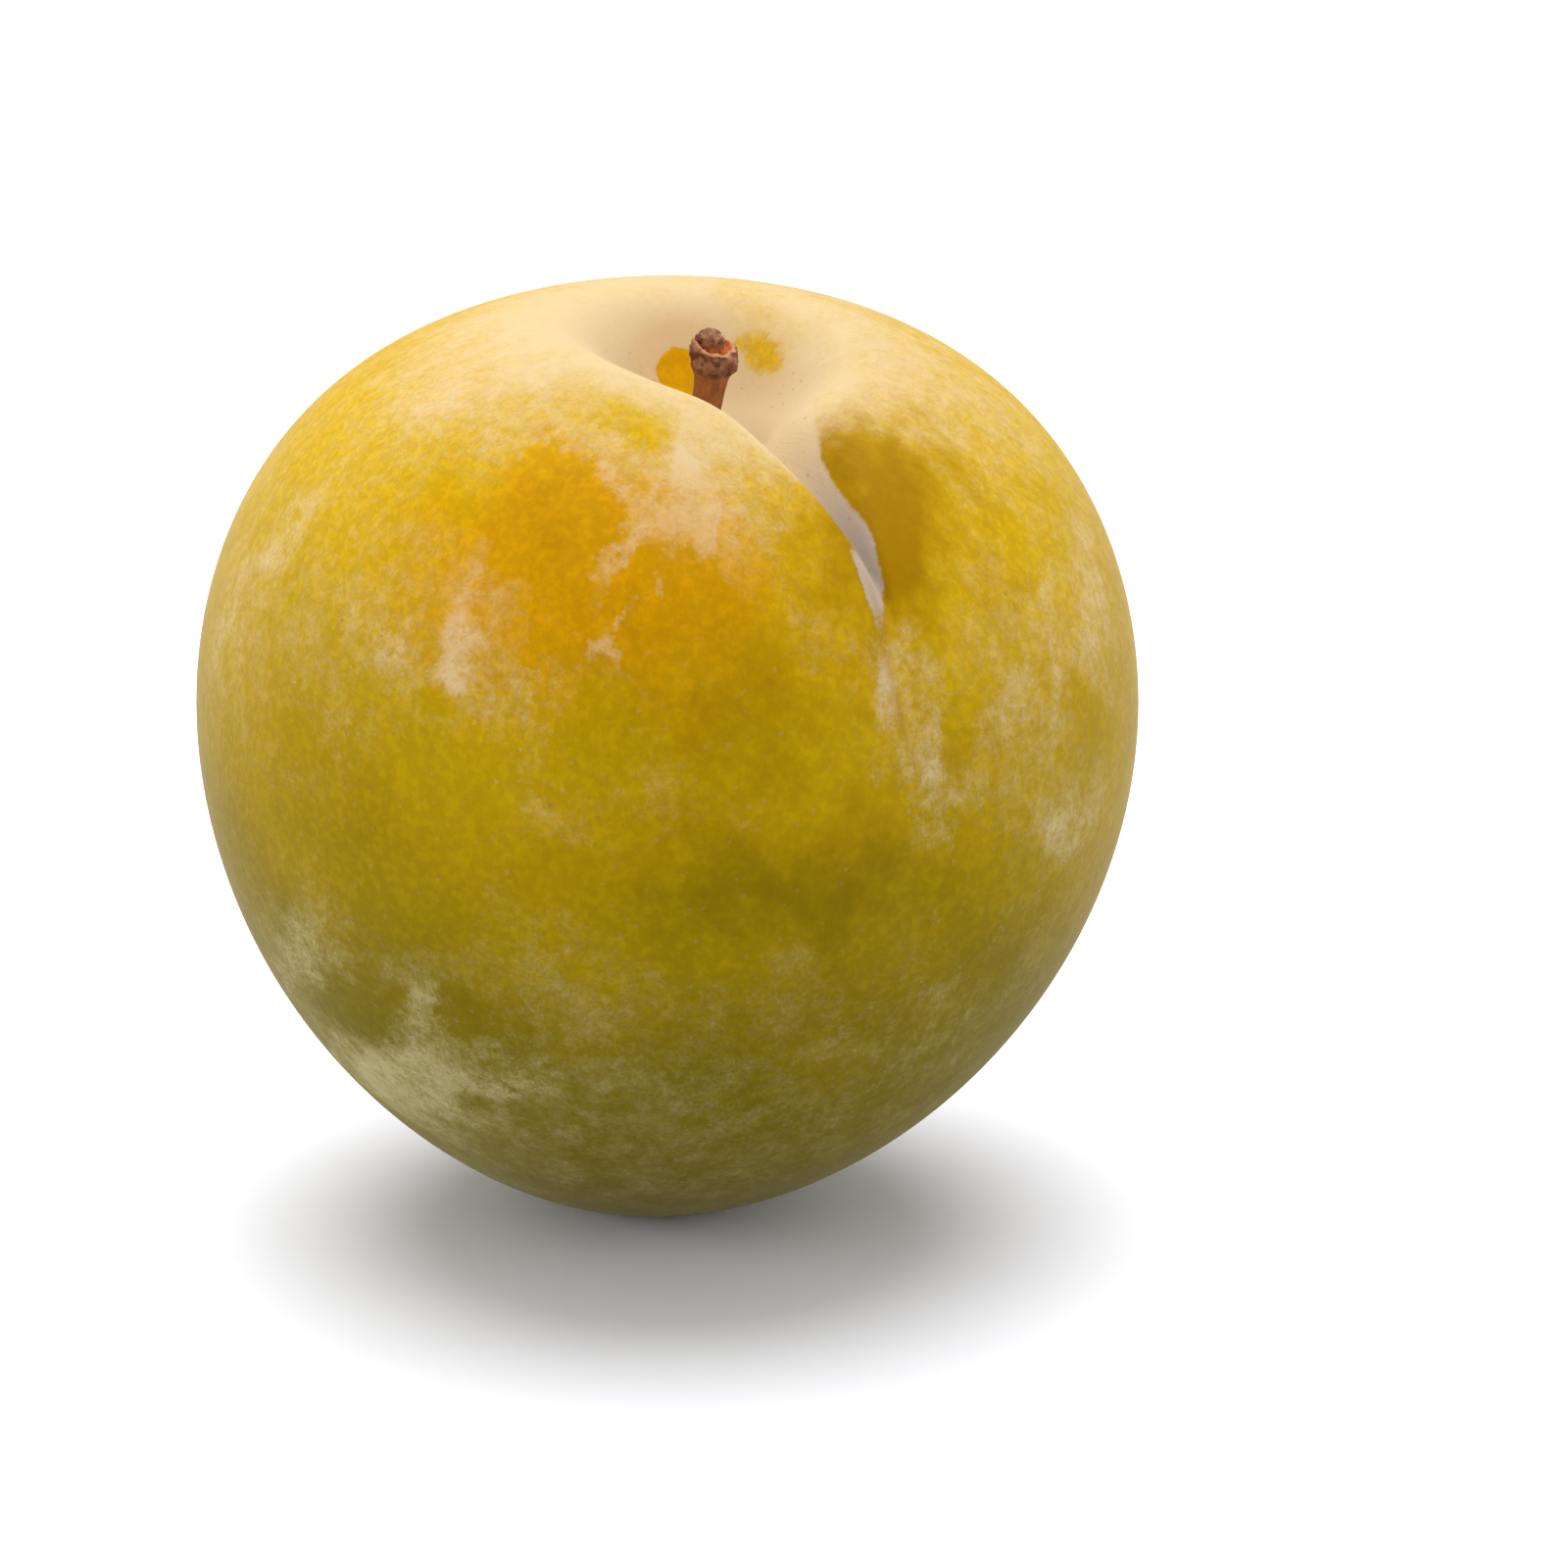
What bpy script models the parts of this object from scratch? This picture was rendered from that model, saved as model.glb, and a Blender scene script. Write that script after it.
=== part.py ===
"""A golden plum with the stub of its stalk, resting on a small flat spot.

Metres, +Z up. The origin is the centre of the flat spot. The fruit's front is -Y and its
right is +X. Each form is laid out round the stalk axis, with the suture towards +X, and an
empty on that axis then turns and tilts the fruit and its stalk into place.
"""

import math

import bmesh
import bpy
from mathutils import Matrix, Vector

MM = 0.001

# Angles called "reach" are polar, in degrees from the stalk end. Angles called "side" run
# round the stalk axis from the suture, in degrees, positive to the right. Places near the
# stalk are (forward, across) from its axis: towards the suture and to the right of it.

# The ball that the fruit grows from
RADIUS = 27.72 * MM
STALK_END_FLATTENING = 0.08
TAPER = 0.037
APEX_LENGTH = 1.15 * MM
APEX_POWER = 10

# Swellings of the cheeks: height, side, spread round the axis, reach, spread along it
LEFT_SHOULDER = (2.7 * MM, -65, 60, 34, 31)
RIGHT_SHOULDER = (0.9 * MM, 95, 55, 45, 25)

# The cavity that the stalk stands in
CAVITY_CENTRE = (0.3 * MM, 0.5 * MM)
CAVITY_DEPTH = 6.7 * MM
CAVITY_RADIUS = 5.9 * MM
CAVITY_POWER = 2.7

# The suture: a groove that is deep by the cavity and closes towards the fruit's middle, a
# fine crease that runs on from it, and the broad hollow that both lie in
GROOVE_DEPTH = 4.8 * MM
GROOVE_REACH = (10, 57)
GROOVE_BEND = 1.0 * MM
BEND_REACH = (15, 52)
GROOVE_LEFT_WIDTH = (0.36 * MM, 1.4 * MM)
GROOVE_RIGHT_WIDTH = (0.38 * MM, 2.2 * MM)
WIDTH_REACH = (15, 46)
CREASE_DEPTH = 0.2 * MM
CREASE_WIDTH = 1.8 * MM
CREASE_REACH = (60, 125)
HOLLOW_DEPTH = 0.5 * MM
HOLLOW_WIDTH = 9.0 * MM
HOLLOW_REACH = (60, 150)
TOP_REACH = (60, 95)
SUTURE_START = (-1.0 * MM, 6.0 * MM)

# How the fruit stands: its centre, the suture's turn from the front towards the right, and
# the stalk axis's lean to the front and to the right
CENTRE = (1.06 * MM, -2.25 * MM, 30.34 * MM)
SUTURE_TURN = 32
LEAN_FORWARD = 9.6
LEAN_RIGHT = 4.6

# The stalk, as a turned outline of (radius, height) above its foot
STALK_SHAFT = ((0.85 * MM, 0.0 * MM), (0.9 * MM, 3.4 * MM), (1.05 * MM, 5.3 * MM))
STALK_JOINT = ((1.3 * MM, 5.95 * MM), (1.37 * MM, 6.5 * MM), (1.27 * MM, 7.0 * MM))
STALK_TIP = ((0.98 * MM, 7.2 * MM), (0.78 * MM, 7.4 * MM), (0.7 * MM, 7.7 * MM), (0.36 * MM, 7.95 * MM))
STALK_PLACE = (0.13 * MM, 0.2 * MM)
STALK_BOW = 0.3 * MM
STALK_LEAN_FORWARD = 2.9
STALK_LEAN_ACROSS = 4.2
SOCKET_DEPTH = 1.2 * MM
GAP = 0.3 * MM

# How finely the surfaces are divided, and how much closer the steps lie by the suture and
# by the stalk end than on the rest of the fruit
ROUND_STEPS = 80
REACH_STEPS = 52
SUTURE_CROWDING = 0.7
STALK_END_CROWDING = 0.4
STALK_SIDES = 20
SHARP_ANGLE = 60

SKIN_COLOUR = (0.56, 0.42, 0.06, 1.0)
SKIN_ROUGHNESS = 0.5
BARK_COLOUR = (0.25, 0.10, 0.04, 1.0)
BARK_ROUGHNESS = 0.85


def fade(value, start, end):
    """1 up to start, 0 from end on, and smooth between them."""
    share = min(max((value - start) / (end - start), 0.0), 1.0)
    return 1.0 - share * share * (3.0 - 2.0 * share)


def bell(distance, width, power=2.0):
    return math.exp(-((abs(distance) / width) ** power))


def swelling(side, reach, shape):
    height, side_at, side_spread, reach_at, reach_spread = shape
    turn = (side - side_at + 180) % 360 - 180
    return height * bell(turn, side_spread) * bell(reach - reach_at, reach_spread)


def cavity_depth(forward, across):
    distance = math.hypot(forward - CAVITY_CENTRE[0], across - CAVITY_CENTRE[1])
    return CAVITY_DEPTH * bell(distance, CAVITY_RADIUS, CAVITY_POWER)


def suture_depth(forward, across, reach):
    """How far the suture lies below the cheeks, across it and along it."""
    floor = -GROOVE_BEND * fade(reach, *BEND_REACH)
    narrow, extra = GROOVE_LEFT_WIDTH if across < floor else GROOVE_RIGHT_WIDTH
    width = narrow + extra * fade(reach, *WIDTH_REACH)
    groove = GROOVE_DEPTH * fade(reach, *GROOVE_REACH) * fade(reach, *TOP_REACH)
    crease = CREASE_DEPTH * fade(reach, *CREASE_REACH)
    hollow = HOLLOW_DEPTH * fade(reach, *HOLLOW_REACH)
    depth = groove * bell(across - floor, width)
    depth += crease * bell(across, CREASE_WIDTH) + hollow * bell(across, HOLLOW_WIDTH)
    return depth * (1.0 - fade(forward, *SUTURE_START))


def fruit_point(side, reach):
    """The point of the fruit's surface at two angles in radians."""
    out, up = math.sin(reach), math.cos(reach)
    forward, across = RADIUS * out * math.cos(side), RADIUS * out * math.sin(side)
    degrees = math.degrees(reach)
    lift = swelling(math.degrees(side), degrees, LEFT_SHOULDER)
    lift += swelling(math.degrees(side), degrees, RIGHT_SHOULDER)
    lift -= suture_depth(forward, across, degrees)
    width = RADIUS * out * (1.0 + TAPER * up) + lift * out
    height = RADIUS * (up - STALK_END_FLATTENING * up * up) + lift * up
    height -= APEX_LENGTH * max(-up, 0.0) ** APEX_POWER
    height -= cavity_depth(forward, across) * fade(degrees, *TOP_REACH)
    return Vector((width * math.cos(side), width * math.sin(side), height))


def point_near_stalk(forward, across):
    """The point of the cavity's floor at a place near the stalk axis."""
    reach = math.asin(math.hypot(forward, across) / RADIUS)
    return fruit_point(math.atan2(across, forward), reach)


def crowded(angle, crowding):
    """The angle moved towards 0, where the steps then lie closer together."""
    return angle - crowding * math.sin(angle)


def cut_flat_spot(bm, to_fruit):
    """Cuts the fruit level where it rests, on the plane of the origin."""
    bmesh.ops.bisect_plane(
        bm,
        geom=bm.verts[:] + bm.edges[:] + bm.faces[:],
        plane_co=to_fruit @ Vector((0, 0, 0)),
        plane_no=to_fruit.to_3x3() @ Vector((0, 0, 1)),
        clear_inner=True,
    )
    rim = [edge for edge in bm.edges if edge.is_boundary]
    bmesh.ops.contextual_create(bm, geom=rim)


def finished_object(name, bm, parent):
    mesh = bpy.data.meshes.new(name)
    bmesh.ops.recalc_face_normals(bm, faces=bm.faces[:])
    bm.to_mesh(mesh)
    bm.free()
    mesh.shade_smooth()
    mesh.set_sharp_from_angle(angle=math.radians(SHARP_ANGLE))
    obj = bpy.data.objects.new(name, mesh)
    bpy.context.scene.collection.objects.link(obj)
    obj.parent = parent
    return obj


def add_material(obj, name, colour, roughness):
    material = bpy.data.materials.new(name)
    material.use_nodes = True
    shader = material.node_tree.nodes["Principled BSDF"]
    shader.inputs["Base Color"].default_value = colour
    shader.inputs["Roughness"].default_value = roughness
    shader.inputs["Metallic"].default_value = 0.0
    obj.data.materials.append(material)


def make_axis():
    """The empty on the stalk axis, at the fruit's centre."""
    axis = bpy.data.objects.new("stalk_axis", None)
    bpy.context.scene.collection.objects.link(axis)
    lean = Matrix.Rotation(math.radians(LEAN_RIGHT), 4, "Y")
    lean = lean @ Matrix.Rotation(math.radians(LEAN_FORWARD), 4, "X")
    turn = Matrix.Rotation(math.radians(SUTURE_TURN - 90), 4, "Z")
    axis.matrix_world = Matrix.Translation(CENTRE) @ lean @ turn
    return axis


def make_fruit(axis):
    bm = bmesh.new()
    bmesh.ops.create_uvsphere(bm, u_segments=ROUND_STEPS, v_segments=REACH_STEPS, radius=1.0)
    for vert in bm.verts:
        side = crowded(math.atan2(vert.co.y, vert.co.x), SUTURE_CROWDING)
        reach = crowded(math.acos(min(max(vert.co.z, -1.0), 1.0)), STALK_END_CROWDING)
        vert.co = fruit_point(side, reach)
    cut_flat_spot(bm, axis.matrix_world.inverted())
    fruit = finished_object("fruit", bm, axis)
    add_material(fruit, "plum_skin", SKIN_COLOUR, SKIN_ROUGHNESS)
    return fruit


def stand_on_stalk_line(obj):
    """Puts an object's origin at the stalk's foot and its +Z along the stalk."""
    obj.location = point_near_stalk(*STALK_PLACE) - Vector((0, 0, SOCKET_DEPTH))
    obj.rotation_euler = (-math.radians(STALK_LEAN_ACROSS), math.radians(STALK_LEAN_FORWARD), 0)


def make_stalk(axis):
    """The stalk's turned outline, bowed a little."""
    outline = STALK_SHAFT + STALK_JOINT + STALK_TIP
    length = outline[-1][1]
    bm = bmesh.new()
    bmesh.ops.create_circle(bm, cap_ends=True, segments=STALK_SIDES, radius=outline[0][0])
    ring = bm.faces[:]
    for (radius, height), (next_radius, next_height) in zip(outline, outline[1:]):
        made = bmesh.ops.extrude_face_region(bm, geom=ring)["geom"]
        bmesh.ops.delete(bm, geom=[face for face in ring if height > 0], context="FACES_ONLY")
        verts = [item for item in made if isinstance(item, bmesh.types.BMVert)]
        ring = [item for item in made if isinstance(item, bmesh.types.BMFace)]
        share = next_radius / radius
        bmesh.ops.scale(bm, vec=(share, share, 1), verts=verts)
        bmesh.ops.translate(bm, vec=(0, 0, next_height - height), verts=verts)
    for vert in bm.verts:
        share = vert.co.z / length
        vert.co.y += STALK_BOW * 4 * share * (1 - share)
    stalk = finished_object("stalk", bm, axis)
    add_material(stalk, "stalk_bark", BARK_COLOUR, BARK_ROUGHNESS)
    stand_on_stalk_line(stalk)


def make_socket(axis, fruit):
    """The pit at the cavity's floor, a little wider and deeper than the stalk's foot."""
    radius = STALK_SHAFT[0][0] + GAP
    bottom, top = -GAP, 3 * SOCKET_DEPTH
    bm = bmesh.new()
    bmesh.ops.create_cone(
        bm,
        cap_ends=True,
        segments=STALK_SIDES,
        radius1=radius,
        radius2=radius,
        depth=top - bottom,
    )
    bmesh.ops.translate(bm, vec=(0, 0, (bottom + top) / 2), verts=bm.verts[:])
    cutter = finished_object("socket_cutter", bm, axis)
    stand_on_stalk_line(cutter)
    cutter.hide_render = True
    cutter.display_type = "WIRE"
    cut = fruit.modifiers.new("socket", "BOOLEAN")
    cut.operation = "DIFFERENCE"
    cut.object = cutter


def main():
    for obj in list(bpy.data.objects):
        bpy.data.objects.remove(obj)
    axis = make_axis()
    bpy.context.view_layer.update()
    fruit = make_fruit(axis)
    make_socket(axis, fruit)
    make_stalk(axis)


main()
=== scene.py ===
"""A golden plum: its waxy skin with bloom and rubbed patches, its stalk, and a plain stage."""

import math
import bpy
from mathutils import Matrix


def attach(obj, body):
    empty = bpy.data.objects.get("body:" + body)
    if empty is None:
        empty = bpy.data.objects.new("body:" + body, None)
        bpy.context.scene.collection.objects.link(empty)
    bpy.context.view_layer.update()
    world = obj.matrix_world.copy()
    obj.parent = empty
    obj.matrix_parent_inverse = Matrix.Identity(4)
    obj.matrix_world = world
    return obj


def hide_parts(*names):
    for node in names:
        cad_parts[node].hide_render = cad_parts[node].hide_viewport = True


bl_info = {
    "name": "Golden Plum",
    "version": (1, 0, 0),
    "blender": (4, 5, 0),
    "location": "3D View > Sidebar > Plum",
    "description": "Makes a golden plum with its bloom and its stalk, on a pale floor",
    "category": "Add Mesh",
}

import bmesh
import bpy
import numpy as np
from mathutils import Matrix, Vector, noise

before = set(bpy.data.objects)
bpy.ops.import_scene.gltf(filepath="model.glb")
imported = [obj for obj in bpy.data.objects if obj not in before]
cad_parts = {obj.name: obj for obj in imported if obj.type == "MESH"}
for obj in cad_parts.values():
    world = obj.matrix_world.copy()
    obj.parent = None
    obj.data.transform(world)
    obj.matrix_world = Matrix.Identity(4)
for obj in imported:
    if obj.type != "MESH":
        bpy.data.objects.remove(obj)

MM = 0.001

# Angles called "reach" are polar, in degrees from the stalk end. Angles called "side" run
# round the stalk axis from the suture, in degrees, positive to the right. Places near the
# stalk are (forward, across) from its axis: towards the suture and to the right of it.

# The fruit's form, in the same sizes as its solid
RADIUS = 27.72 * MM
STALK_END_FLATTENING = 0.08
TAPER = 0.037
APEX_LENGTH = 1.15 * MM
APEX_POWER = 10
LEFT_SHOULDER = (2.7 * MM, -65, 60, 34, 31)
RIGHT_SHOULDER = (0.9 * MM, 95, 55, 45, 25)
CAVITY_CENTRE = (0.3 * MM, 0.5 * MM)
CAVITY_DEPTH = 6.7 * MM
CAVITY_RADIUS = 5.9 * MM
CAVITY_POWER = 2.7
GROOVE_DEPTH = 4.8 * MM
GROOVE_REACH = (10, 57)
GROOVE_BEND = 1.0 * MM
BEND_REACH = (15, 52)
GROOVE_LEFT_WIDTH = (0.36 * MM, 1.4 * MM)
GROOVE_RIGHT_WIDTH = (0.38 * MM, 2.2 * MM)
WIDTH_REACH = (15, 46)
CREASE_DEPTH = 0.2 * MM
CREASE_WIDTH = 1.8 * MM
CREASE_REACH = (60, 125)
HOLLOW_DEPTH = 0.5 * MM
HOLLOW_WIDTH = 9.0 * MM
HOLLOW_REACH = (60, 150)
TOP_REACH = (60, 95)
SUTURE_START = (-1.0 * MM, 6.0 * MM)

# How the fruit stands
CENTRE = (1.06 * MM, -2.25 * MM, 30.34 * MM)
SUTURE_TURN = 32
LEAN_FORWARD = 9.6
LEAN_RIGHT = 4.6

# How finely the skin is divided, and how much closer the steps lie by the suture and by the
# stalk end than on the rest of the fruit
ROUND_STEPS = 360
REACH_STEPS = 240
SUTURE_CROWDING = 0.7
STALK_END_CROWDING = 0.4

# Where the stalk stands, and the small pit of skin round its foot
STALK_PLACE = (0.13 * MM, 0.2 * MM)
STALK_LEAN_FORWARD = 2.9
STALK_LEAN_ACROSS = 4.2
STALK_BOW = 0.3 * MM
STALK_SINK = 1.2 * MM
PIT_DEPTH = 0.45 * MM
PIT_RADIUS = 1.5 * MM

# The groove's right crest near the stalk end: mm forward, and how far right it runs there
CREST_FORWARD = (2.0, 4.6, 9.2, 12.0, 14.2, 16.0, 17.0, 18.0, 20.0, 21.2, 22.5, 24.0)
CREST_ACROSS = (6.2, 4.6, 2.2, 1.2, 0.8, 0.75, 0.8, 0.75, 0.4, -0.3, -0.8, -1.3)

# The pale wall of the groove: how many mm inside the right crest it fades, where it starts, in
# mm forward, and the reach where it ends. On the groove's left side it is thinner and follows
# the depth, as a share of the groove's own, and a tail of it runs on over the left edge. A
# painted highlight, drawn as thicker bloom, lies where the left edge is that shallow
CREST_EDGE = (-0.3, 0.5)
WALL_START = (3.0, 7.0)
WALL_END = (47, 58)
WALL_LEFT_STRENGTH = 0.85
WALL_LEFT_DEPTH = (0.02, 0.15)
TAIL_ACROSS = (-1.75, -1.15)
TAIL_REACH = (35, 45)
LIP_HIGHLIGHT_DEPTH = (0.004, 0.06)

# The seam that runs on from the groove: reach, and how far right it runs in mm. A fine scar
# lies beside it. Widths and the place aside are in mm too
SEAM_REACH = (44, 50, 54, 58, 64, 70)
SEAM_ACROSS = (-1.3, -1.4, -1.6, -1.65, -1.5, -0.9)
SEAM_START = (42, 48)
SEAM_END = (62, 72)
SEAM_WIDTH = 0.5
SEAM_STRENGTH = 0.28
SCAR_ASIDE = 0.5
SCAR_WIDTH = 0.28

# Where the bloom is combed into lines: mm right of the stalk axis, half-breadth, and reach
COMBED_ACROSS = 1.5
COMBED_WIDTH = 6.0
COMBED_START = (50, 70)

# Waves that make the patches' outlines uneven: their length and how far they move a point, in
# mm, and the reach where they start
WAVES = ((9.3, 0.9), (4.7, 0.6), (2.3, 0.35))
WAVES_START = (10, 28)
WAVE_MIXING = 0.7
WAVE_TURN = np.array(((0.36, 0.48, -0.8), (-0.8, 0.6, 0.0), (0.48, 0.64, 0.6)))

# Patches of the skin: side, reach, long and short half-breadth in mm, the long one's turn in
# degrees from the direction round the fruit, and how strong the patch is
RUBBED_PATCHES = (
    (-56, 40, 3.6, 3.0, 176, 1.0),
    (-53, 47, 2.4, 1.5, 166, 1.0),
    (-40, 47, 1.7, 1.5, 161, 1.0),
    (-48, 51, 2.0, 1.4, 164, 0.9),
    (-48, 56, 1.4, 1.0, 173, 0.8),
    (-30, 52, 3.8, 2.6, 168, 1.0),
    (-70, 42, 1.8, 1.5, 33, 1.0),
    (-50, 26, 3.4, 2.4, 137, 0.5),
    (-82, 76, 1.1, 0.9, 145, 0.7),
    (-61, 66, 1.7, 1.4, 128, 0.7),
    (7, 38, 5.6, 3.6, 125, 1.0),
    (1, 46, 2.6, 1.7, 130, 0.8),
    (28, 43, 2.0, 1.4, 175, 0.45),
    (8, 65, 2.4, 1.6, 98, 0.3),
    (33, 73, 2.7, 2.0, 71, 0.35),
    (-25, 62, 6.0, 3.2, 177, 0.85),
    (-41, 65, 3.5, 2.6, 169, 0.55),
    (-66, 85, 9.5, 5.4, 144, 0.6),
    (-54, 106, 4.2, 2.5, 119, 0.55),
    (-74, 111, 4.3, 1.8, 129, 0.5),
    (-28, 84, 11.0, 3.4, 177, 0.85),
    (-11, 78, 5.1, 4.2, 60, 0.7),
    (4, 85, 3.6, 2.6, 63, 0.7),
    (158, 8.2, 1.3, 1.2, 132, 1.7),
    (108, 12, 2.6, 1.7, 20, 0.65),
    (121, 15, 2.6, 1.4, 24, 0.35),
    (110, 60, 6.0, 3.5, 20, 0.7),
    (150, 85, 7.0, 4.0, 150, 0.8),
    (-150, 65, 6.0, 3.0, 100, 0.7),
    (-125, 95, 5.0, 3.5, 30, 0.7),
    (60, 100, 6.0, 3.0, 120, 0.7),
)
BLOOM_PATCHES = (
    (-34, 37, 3.7, 1.5, 89, 0.8),
    (-41, 42, 2.7, 1.7, 173, 0.75),
    (-61, 52, 1.7, 1.2, 164, 0.5),
    (-45, 56, 3.3, 1.3, 167, 0.6),
    (-53, 62, 1.9, 1.2, 162, 0.4),
    (43, 59, 6.2, 2.6, 156, 0.55),
    (-43, 39, 3.2, 1.9, 67, 0.9),
    (-60, 55, 3.4, 2.0, 70, 0.7),
    (-41, 54, 1.9, 1.3, 168, 0.8),
    (-37, 49, 1.5, 1.2, 87, 0.9),
    (0, 72, 4.2, 2.6, 88, 0.75),
    (-3, 59, 2.8, 0.9, 109, 0.6),
    (52, 39, 8.6, 3.6, 4, 0.25),
    (30, 54, 3.1, 2.0, 150, 0.5),
    (26, 66, 3.8, 1.9, 114, 0.6),
    (2, 73, 3.4, 2.5, 72, 0.6),
    (20, 62, 9.0, 4.5, 105, 0.25),
    (15, 64, 2.6, 2.0, 111, 0.5),
    (-48, 82, 6.3, 3.2, 89, 0.35),
    (-83, 107, 7.6, 2.9, 131, 0.85),
    (-91, 37, 4.3, 2.5, 3, 0.4),
    (-66, 118, 10.1, 3.8, 142, 1.15),
    (22, 82, 4.4, 2.2, 31, 0.6),
    (-72, 60, 3.6, 2.3, 69, 0.5),
    (-100, 58, 6.0, 2.0, 100, 0.5),
    (85, 80, 7.0, 3.0, 60, 0.7),
    (130, 105, 8.0, 3.5, 140, 0.8),
    (-170, 95, 7.0, 4.0, 30, 0.8),
    (-105, 70, 5.0, 3.0, 110, 0.5),
)
BLUSH_PATCHES = (
    (-47, 45, 9.5, 6.5, 170, 1.0),
    (165, 9, 2.8, 2.2, 140, 1.6),
    (108, 12, 3.0, 2.0, 20, 0.3),
)
DEEP_PATCHES = (
    (8, 38, 5.6, 3.2, 127, 1.5),
    (-24, 59, 7.5, 5.0, 6, 0.55),
    (-53, 107, 5.1, 3.5, 133, 0.7),
    (-16, 83, 8.5, 3.4, 1, 0.75),
    (9, 66, 3.3, 3.0, 140, 0.35),
    (21, 51, 3.8, 2.6, 143, 0.4),
    (-41, 65, 3.5, 2.8, 169, 0.3),
    (-73, 86, 4.7, 2.9, 145, 0.35),
    (0, 79, 6.3, 2.8, 87, 0.4),
    (-54, 41, 3.6, 2.8, 33, 0.35),
    (150, 80, 8.0, 5.0, 150, 0.6),
    (100, 60, 6.0, 4.0, 20, 0.6),
)

# The photograph's frame: the camera's height angle, its distance, its lens, and how far the
# view's middle lies from the fruit's, to the right and upwards
CAMERA_ELEVATION = 17
CAMERA_DISTANCE = 380 * MM
CAMERA_LENS = 147.3
AIM_RIGHT = 6.93 * MM
AIM_UP = -3.74 * MM


# The fruit's form


def fade(value, start, end):
    """1 up to start, 0 from end on, and smooth between them."""
    share = np.clip((value - start) / (end - start), 0.0, 1.0)
    return 1.0 - share * share * (3.0 - 2.0 * share)


def bell(distance, width, power=2.0):
    """1 at no distance, falling to about a third at the width."""
    return np.exp(-((np.abs(distance) / width) ** power))


def swelling(side, reach, shape):
    """How far a shoulder stands out at a place on the fruit."""
    height, side_at, side_spread, reach_at, reach_spread = shape
    turn = (side - side_at + 180) % 360 - 180
    return height * bell(turn, side_spread) * bell(reach - reach_at, reach_spread)


def places(side, reach):
    """How far points lie from the stalk axis, towards the suture and to the right of it."""
    return RADIUS * np.sin(reach) * np.cos(side), RADIUS * np.sin(reach) * np.sin(side)


def cavity_depth(forward, across):
    distance = np.hypot(forward - CAVITY_CENTRE[0], across - CAVITY_CENTRE[1])
    return CAVITY_DEPTH * bell(distance, CAVITY_RADIUS, CAVITY_POWER)


def groove_floor(reach):
    return -GROOVE_BEND * fade(reach, *BEND_REACH)


def groove_depth(forward, across, reach):
    """The groove's depth alone, without the crease and the broad hollow."""
    from_floor = across - groove_floor(reach)
    narrow = np.where(from_floor < 0, GROOVE_LEFT_WIDTH[0], GROOVE_RIGHT_WIDTH[0])
    extra = np.where(from_floor < 0, GROOVE_LEFT_WIDTH[1], GROOVE_RIGHT_WIDTH[1])
    width = narrow + extra * fade(reach, *WIDTH_REACH)
    groove = GROOVE_DEPTH * fade(reach, *GROOVE_REACH) * fade(reach, *TOP_REACH)
    return groove * bell(from_floor, width) * (1.0 - fade(forward, *SUTURE_START))


def suture_depth(forward, across, reach):
    """How far the suture lies below the cheeks, across it and along it."""
    crease = CREASE_DEPTH * fade(reach, *CREASE_REACH)
    hollow = HOLLOW_DEPTH * fade(reach, *HOLLOW_REACH)
    shallow = crease * bell(across, CREASE_WIDTH) + hollow * bell(across, HOLLOW_WIDTH)
    shallow *= 1.0 - fade(forward, *SUTURE_START)
    return groove_depth(forward, across, reach) + shallow


def fruit_points(side, reach):
    """The points of the fruit's surface at two angles in radians, in the fruit's own frame."""
    out, up = np.sin(reach), np.cos(reach)
    forward, across = places(side, reach)
    degrees = np.degrees(reach)
    lift = swelling(np.degrees(side), degrees, LEFT_SHOULDER)
    lift += swelling(np.degrees(side), degrees, RIGHT_SHOULDER)
    lift -= suture_depth(forward, across, degrees)
    width = RADIUS * out * (1.0 + TAPER * up) + lift * out
    height = RADIUS * (up - STALK_END_FLATTENING * up * up) + lift * up
    height -= APEX_LENGTH * np.clip(-up, 0.0, 1.0) ** APEX_POWER
    height -= cavity_depth(forward, across) * fade(degrees, *TOP_REACH)
    from_stalk = np.hypot(forward - STALK_PLACE[0], across - STALK_PLACE[1])
    height -= PIT_DEPTH * bell(from_stalk, PIT_RADIUS, 4) * fade(degrees, *TOP_REACH)
    return np.stack([width * np.cos(side), width * np.sin(side), height], axis=-1)


def point_near_stalk(forward, across):
    """The fruit's surface at a place near the stalk, in the fruit's own frame."""
    reach = math.asin(math.hypot(forward, across) / RADIUS)
    return Vector(fruit_points(math.atan2(across, forward), reach))


def crowded(angle, crowding):
    """The angle moved towards 0, where the steps then lie closer together."""
    return angle - crowding * np.sin(angle)


def fruit_frame():
    """The fruit's own frame, with the stalk axis as +Z and the suture towards +X."""
    lean = Matrix.Rotation(math.radians(LEAN_RIGHT), 4, "Y")
    lean = lean @ Matrix.Rotation(math.radians(LEAN_FORWARD), 4, "X")
    turn = Matrix.Rotation(math.radians(SUTURE_TURN - 90), 4, "Z")
    return Matrix.Translation(CENTRE) @ lean @ turn


# Meshes


def cut_flat_spot(bm):
    """Cuts the fruit level where it rests, on the plane of the origin."""
    bmesh.ops.bisect_plane(
        bm,
        geom=bm.verts[:] + bm.edges[:] + bm.faces[:],
        plane_co=(0, 0, 0),
        plane_no=(0, 0, 1),
        clear_inner=True,
    )
    rim = [edge for edge in bm.edges if edge.is_boundary]
    bmesh.ops.contextual_create(bm, geom=rim)


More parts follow.
